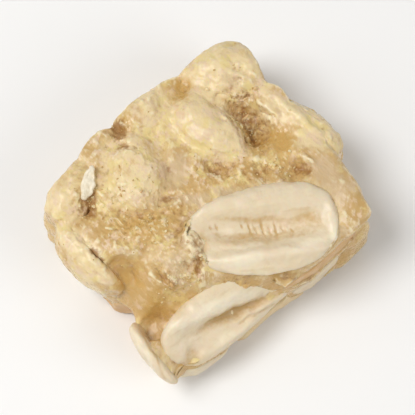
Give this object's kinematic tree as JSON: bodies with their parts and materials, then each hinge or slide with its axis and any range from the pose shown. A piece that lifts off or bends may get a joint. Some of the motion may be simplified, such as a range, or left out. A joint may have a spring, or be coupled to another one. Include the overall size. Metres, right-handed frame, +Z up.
{
  "type": "nut brittle piece",
  "caption": "Cut square of nut brittle: split peanuts bound in pale cooked sugar, one corner broken away, lying flat with its rough face up.",
  "frame": {"origin": "under the middle of the piece, on the surface that it rests on", "axes": "+Z up, out of the rough face; +X along the longer pair of sides, towards the side with the bulging nut; +Y towards the back, away from the broken corner"},
  "size_m": [0.033, 0.0282, 0.0122],
  "materials": {
    "sugar": "pale amber cooked sugar, grainy on the face and glossy on the cut sides",
    "pale": "cream peanut flesh with a thin glaze",
    "golden": "golden peanut under sugar",
    "roasted": "darker roasted peanut"
  },
  "bodies": {
    "root": {"nut_back_edge": "pale", "nut_back_left": "pale", "nut_back_middle": "pale", "nut_back_right": "pale", "nut_broken_corner": "pale", "nut_centre": "golden", "nut_corner_edge": "pale", "nut_inner_01": "golden", "nut_inner_02": "pale", "nut_inner_03": "pale", "nut_left_middle": "golden", "nut_left_rim": "pale", "nut_lower_01": "pale", "nut_lower_02": "golden", "nut_lower_03": "pale", "nut_lower_04": "roasted", "nut_lower_05": "pale", "nut_lower_06": "golden", "nut_lower_07": "pale", "nut_lower_08": "roasted", "nut_lower_09": "pale", "nut_lower_10": "golden", "nut_middle_01": "roasted", "nut_middle_02": "pale", "nut_middle_03": "golden", "nut_middle_04": "roasted", "nut_middle_05": "pale", "nut_middle_06": "golden", "nut_open_face": "pale", "nut_right_bulge": "pale", "sugar": "sugar"}
  },
  "joints": []
}
